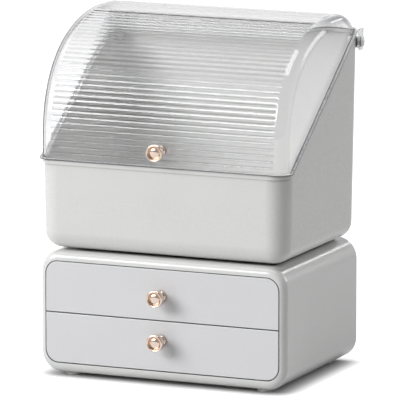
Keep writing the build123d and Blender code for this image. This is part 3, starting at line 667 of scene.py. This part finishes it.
def skin_place(column, distance, under):
    """A place on one face of the wall, for a column of the grid and a distance along the side view."""
    turn = corner_turns[column]
    y, z, lean = side_view(distance)
    radius = LID_CORNER_R - under
    depth = LID_CORNER_R - radius * math.cos(turn) + flute_depth(across[column], distance)
    x = across[column] + radius * math.sin(turn)
    return Vector((x, y + depth * math.cos(lean), z - depth * math.sin(lean)))


def rear_distance(column, under, height):
    """How far along the side view a column comes down to a height over the bin's edge."""
    near, far = flute_top, walk_end
    for halving in range(HALVINGS):
        middle = (near + far) / 2
        if height_over_seat(skin_place(column, middle, under)) > height:
            near = middle
        else:
            far = middle
    return near


print("the middle of the lid ends", round(rear_distance(0, 0, SEAT_GAP), 4), "m along the side view")

# %% [markdown]
# One function makes either face of the half lid. It bends a flat grid into
# place, closes the flat cheek at the side with one face, and returns the open
# edge in order, with the ways outwards and down for the lip.

# %% One face of the wall
REAR_ROWS = 40


def make_skin(mesh, under, height):
    """
    Adds one face of the half lid, which lies a depth under the outer face and
    starts at a height over the rim. Returns its edge as vertices, each with
    the way outwards and the way down.
    """
    last = len(across) - 1
    last_row = len(walk_rows) + REAR_ROWS
    rows_of = []
    for column in range(last + 1):
        rear_end = rear_distance(column, under, height)
        rows_of.append([height] + walk_rows + steps_between(flute_top, rear_end, REAR_ROWS))
    placed = {}
    # The flat grid runs from -1 to 1 both ways.
    grid = bmesh.ops.create_grid(mesh, x_segments=last, y_segments=last_row, size=1)
    for vert in grid["verts"]:
        column = round((vert.co.x + 1) / 2 * last)
        row = round((vert.co.y + 1) / 2 * last_row)
        distance = rows_of[column][row]
        vert.co = skin_place(column, distance, under)
        in_valley = flute_share(across[column], distance)
        vert[valley_layer] = in_valley * towards_crown(distance, VALLEY_FADE)
        vert[corner_layer] = math.sin(2 * corner_turns[column])
        vert[side_layer] = math.sin(corner_turns[column])
        placed[column, row] = vert
    foot_y = SLOPE_START_Y - height * math.tan(SLOPE_TURN / 2)
    slope_foot = mesh.verts.new((LID_HALF_WIDTH - under, foot_y, RIM_Z + height))
    slope_foot[side_layer] = 1.0
    cheek = [placed[last, row] for row in range(last_row + 1)]
    mesh.faces.new(cheek[::-1] + [slope_foot])
    edge = []
    for column in range(last + 1):
        turn = corner_turns[column]
        outwards = Vector((math.sin(turn), -math.cos(turn), 0))
        edge.append((placed[column, 0], outwards, Vector((0, 0, -1))))
    edge.append((slope_foot, Vector((1, 0, 0)), Vector((0, math.tan(SLOPE_TURN / 2), -1))))
    for column in range(last, -1, -1):
        vert = placed[column, last_row]
        up = seat_normal(vert.co)
        turn = corner_turns[column]
        outwards = Vector((math.sin(turn), up.z * math.cos(turn), -up.y * math.cos(turn)))
        edge.append((vert, outwards, -up))
    return edge


def edges_along(verts):
    """The edges between neighbours in a chain of vertices."""
    return [next(e for e in a.link_edges if b in e.verts) for a, b in zip(verts, verts[1:])]


lid_mesh = bmesh.new()
valley_layer = lid_mesh.verts.layers.float.new("valley")
corner_layer = lid_mesh.verts.layers.float.new("corner")
side_layer = lid_mesh.verts.layers.float.new("side")
shade_line_layer = lid_mesh.verts.layers.float.new("line")
outer_edge = make_skin(lid_mesh, under=0.0, height=SEAT_GAP + LIP_THICKNESS)
inner_edge = make_skin(lid_mesh, under=LID_WALL, height=SEAT_GAP)
print("two faces of the wall:", len(lid_mesh.faces), "faces")

# %% [markdown]
# The outer face ends above the seat, where a lip turns out and rests on the
# edge of the bin. The lip follows the edge all round: level in front, up the
# slope, over the knuckle at the hinge and along the back. A clear lip shows a
# thin dark line of shade in the corner against the wall and another along its
# foot, so both strips get a dark finish of their own that paints that shade:
# the vertices along them are marked, the lip is cut into strips, and the strips
# that touch a mark are the lines. Then the half is mirrored.


# %% Lip and closed wall
WALL_FINISH = 0
EDGE_FINISH = 1
SHADE_LINE_FINISH = 2
SEAT_FINISH = 3
SAME_PLACE = 0.0001 * MM


def pushed_chain(mesh, chain, moves):
    """Extrudes the edges along a chain, moves each new vertex, and returns the new chain."""
    made = bmesh.ops.extrude_edge_only(mesh, edges=edges_along(chain))
    fresh = {part for part in made["geom"] if isinstance(part, bmesh.types.BMVert)}
    new_chain = []
    for vert, move in zip(chain, moves):
        neighbours = [edge.other_vert(vert) for edge in vert.link_edges]
        new_vert = next(other for other in neighbours if other in fresh)
        new_vert.co += move
        new_chain.append(new_vert)
    return new_chain


def edges_between(chain, other):
    """The edges that join each vertex of one chain to its partner in the other."""
    return [next(e for e in a.link_edges if b in e.verts) for a, b in zip(chain, other)]


outer_chain = [vert for vert, outwards, down in outer_edge]
inner_chain = [vert for vert, outwards, down in inner_edge]
way_out = [outwards * LIP_WIDTH for vert, outwards, down in outer_edge]
way_down = [down * LIP_THICKNESS for vert, outwards, down in outer_edge]
lip_top = pushed_chain(lid_mesh, outer_chain, way_out)
lip_low = pushed_chain(lid_mesh, lip_top, way_down)
over_the_lip = edges_between(outer_chain, lip_top)
down_the_lip = edges_between(lip_top, lip_low)
seat_edges = edges_along(lip_low) + edges_along(inner_chain)
under_the_lip = bmesh.ops.bridge_loops(lid_mesh, edges=seat_edges)
for edge in edges_along(lip_top):
    for face in edge.link_faces:
        face.material_index = EDGE_FINISH
for face in under_the_lip["faces"]:
    face.material_index = SEAT_FINISH
for vert in outer_chain + lip_low:
    vert[shade_line_layer] = 1.0
bmesh.ops.subdivide_edges(lid_mesh, edges=over_the_lip, cuts=2, use_grid_fill=True)
bmesh.ops.subdivide_edges(lid_mesh, edges=down_the_lip, cuts=1, use_grid_fill=True)
# The strips that touch a marked vertex take the painted shade finish.
for face in lid_mesh.faces:
    marked = any(vert[shade_line_layer] == 1.0 for vert in face.verts)
    if marked and face.material_index == EDGE_FINISH:
        face.material_index = SHADE_LINE_FINISH
for finish in (WALL_FINISH, EDGE_FINISH, SHADE_LINE_FINISH, SEAT_FINISH):
    print("finish", finish, ":", sum(f.material_index == finish for f in lid_mesh.faces), "faces")


def mirrored(mesh):
    """Adds the left half of a mesh and turns its faces outwards."""
    half = mesh.verts[:] + mesh.edges[:] + mesh.faces[:]
    middle = Matrix.Identity(4)
    bmesh.ops.mirror(mesh, geom=half, axis="X", matrix=middle, merge_dist=SAME_PLACE)
    bmesh.ops.recalc_face_normals(mesh, faces=mesh.faces)
    open_edges = sum(not edge.is_manifold for edge in mesh.edges)
    print("mirrored:", len(mesh.faces), "faces,", open_edges, "open edges")


mirrored(lid_mesh)
print("volume:", round(lid_mesh.calc_volume(signed=True) * 1e6, 1), "cubic centimetres")

# %% [markdown]
# Two ears stand outside the bin's side walls, next to the ends of the lip. The
# hinge pins go through them. An ear is a flat plate: a sector that reaches down
# from the lip to the pin, with a round end. Its outline is walked round the pin
# as angles and radii, joined to the hole by a ring of faces, and extruded.


# %% Ears
EAR_GAP = 0.02 * MM
EAR_INNER_X = LID_HALF_WIDTH + LIP_WIDTH + EAR_GAP
EAR_OUTER_X = 144.96 * MM
EAR_R = 8.5 * MM
EAR_BACK = math.radians(66)
EAR_TOP_STEPS = 8
EAR_ROUND_STEPS = 30
PIN_HOLE_R = 2.55 * MM


def ear_point(angle, radius):
    """A point of an ear's inner face, at an angle round the pin."""
    y = HINGE.y + radius * math.cos(angle)
    z = HINGE.z + radius * math.sin(angle)
    return Vector((EAR_INNER_X, y, z))


def add_ear(mesh):
    """Adds the right ear as a plate with a hole for the pin."""
    reach = KNUCKLE_R + SEAT_GAP + LIP_THICKNESS
    top = [EAR_BACK] + steps_between(EAR_BACK, SLOPE_HEAD, EAR_TOP_STEPS)
    lower = steps_between(SLOPE_HEAD, EAR_BACK + 2 * math.pi, EAR_ROUND_STEPS)[:-1]
    outline = [(angle, reach) for angle in top] + [(angle, EAR_R) for angle in lower]
    rim = [mesh.verts.new(ear_point(angle, radius)) for angle, radius in outline]
    hole = [mesh.verts.new(ear_point(angle, PIN_HOLE_R)) for angle, radius in outline]
    plate = []
    for i in range(len(rim)):
        plate.append(mesh.faces.new((rim[i], rim[i - 1], hole[i - 1], hole[i])))
    thick = bmesh.ops.extrude_face_region(mesh, geom=plate)
    for part in thick["geom"]:
        if isinstance(part, bmesh.types.BMVert):
            part.co.x = EAR_OUTER_X


ear_mesh = bmesh.new()
add_ear(ear_mesh)
mirrored(ear_mesh)


# %% [markdown]
# The ears join the lid's mesh, and the whole rides on the hinged body, so it
# turns with the lid at every pose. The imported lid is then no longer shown.


# %% Put the lid in the scene
def new_piece(mesh, name, materials, body, replaced, sharp_turn):
    """Makes a bmesh an object that stands in for a CAD node, smooth up to a sharp turn."""
    data = bpy.data.meshes.new(name)
    mesh.to_mesh(data)
    mesh.free()
    for material in materials:
        data.materials.append(material)
    data.shade_smooth()
    data.set_sharp_from_angle(angle=sharp_turn)
    piece = bpy.data.objects.new(name, data)
    bpy.context.scene.collection.objects.link(piece)
    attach(piece, body)
    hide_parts(replaced)
    print(name, len(data.polygons), "faces")
    return piece


LID_SHARP_TURN = math.radians(35)

for face in ear_mesh.faces:
    face.material_index = EDGE_FINISH
ears = bpy.data.meshes.new("ears")
ear_mesh.to_mesh(ears)
ear_mesh.free()
lid_mesh.from_mesh(ears)
lid_finishes = [lid_clear, lid_edge, lid_shade_line, lid_seat]
clear_lid = new_piece(lid_mesh, "clear_lid", lid_finishes, "lid", "lid_shell", LID_SHARP_TURN)

# %% [markdown]
# ## Rose gold and steel
#
# The knobs are plated in pale rose gold and polished. The screws and the
# washer are zinc-plated steel, which is duller. Both show faint marks from
# turning, finer than a millimetre, which noise in the roughness gives. The
# soft feet are pale rubber.


# %% Metals
MARK_SCALE = 900.0
MARK_DULLNESS = 0.3


def plated_metal(name, colour, roughness):
    """Plated metal with faint turning marks, brighter and duller by a share of its roughness."""
    material, tree, output = new_material(name)
    marks = noise(tree, MARK_SCALE, detail=2.0)
    smoothest = roughness * (1 - MARK_DULLNESS)
    dullest = roughness * (1 + MARK_DULLNESS)
    dull = slide(tree, marks, smoothest, dullest)
    shader = add_node(tree, "ShaderNodeBsdfPrincipled", Base_Color=(*colour, 1), Metallic=1.0)
    tree.links.new(dull, shader.inputs["Roughness"])
    tree.links.new(shader.outputs["BSDF"], output.inputs["Surface"])
    return material


rose_gold = plated_metal("rose_gold", (0.75, 0.61, 0.52), 0.1)
zinc_steel = plated_metal("zinc_steel", (0.62, 0.63, 0.64), 0.3)
foot_rubber = moulded_plastic("foot_rubber", (0.8, 0.8, 0.79), 0.45, painted_gap_shade=False)
steel_nodes = [name for name in nodes if "screw" in name or "washer" in name]
foot_nodes = [name for name in nodes if "foot" in name]
paint_nodes(zinc_steel, steel_nodes)
paint_nodes(foot_rubber, foot_nodes)
print("steel:", steel_nodes)
print("rubber:", foot_nodes)

# %% [markdown]
# ## Knobs
#
# A lathe turns each knob from bar: a thin base, a stem, and a head with a
# rounded rim, a groove and a shallow pillow. The profile is drawn once, as
# radius and height above the face it stands on, and spun about the knob's
# axis. A knob stands out towards the front, so the back of its box is that face.


# %% Turned knobs
# Pairs of radius and height in millimetres, from the base to the middle of the head.
KNOB_BASE = ((0.0, 0.0), (5.5, 0.0), (5.5, 1.3), (5.1, 1.8), (4.1, 1.9))
KNOB_STEM = ((4.0, 2.4), (4.0, 10.4), (4.6, 11.8))
KNOB_HEAD = ((6.2, 12.5), (8.4, 12.6), (9.0, 12.9), (9.25, 13.6), (9.25, 17.4))
KNOB_RIM = ((9.05, 18.2), (8.6, 18.8), (8.0, 19.0), (7.45, 18.8), (7.1, 18.3))
KNOB_GROOVE = ((6.95, 17.2), (6.85, 16.0), (6.5, 15.6), (6.1, 15.9), (5.8, 16.7))
KNOB_PILLOW = ((5.2, 17.3), (4.3, 17.75), (3.0, 18.05), (1.5, 18.2), (0.0, 18.25))
KNOB_PROFILE = KNOB_BASE + KNOB_STEM + KNOB_HEAD + KNOB_RIM + KNOB_GROOVE + KNOB_PILLOW
KNOB_STEPS = 64
KNOB_SHARP_TURN = math.radians(50)
AXIS_MERGE = 0.002 * MM
FORWARDS = Vector((0, -1, 0))
SIDEWAYS = Vector((1, 0, 0))


def turned(profile, foot):
    """A bmesh spun from a profile about the forward axis through its foot."""
    mesh = bmesh.new()
    chain = []
    for radius, height in profile:
        chain.append(mesh.verts.new(foot + SIDEWAYS * radius * MM + FORWARDS * height * MM))
    drawn = chain + [mesh.edges.new(pair) for pair in zip(chain, chain[1:])]
    bmesh.ops.spin(
        mesh,
        geom=drawn,
        cent=foot,
        axis=FORWARDS,
        angle=2 * math.pi,
        steps=KNOB_STEPS,
        use_merge=True,
    )
    bmesh.ops.remove_doubles(mesh, verts=mesh.verts, dist=AXIS_MERGE)
    bmesh.ops.recalc_face_normals(mesh, faces=mesh.faces)
    return mesh


knob_bodies = {
    "upper_drawer_knob": "upper_drawer",
    "lower_drawer_knob": "lower_drawer",
    "lid_knob": "lid",
}
for node, body in knob_bodies.items():
    low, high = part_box(node)
    foot = Vector(((low[0] + high[0]) / 2, high[1], (low[2] + high[2]) / 2))
    knob_mesh = turned(KNOB_PROFILE, foot)
    knob = new_piece(knob_mesh, node + "_turned", [rose_gold], body, node, KNOB_SHARP_TURN)
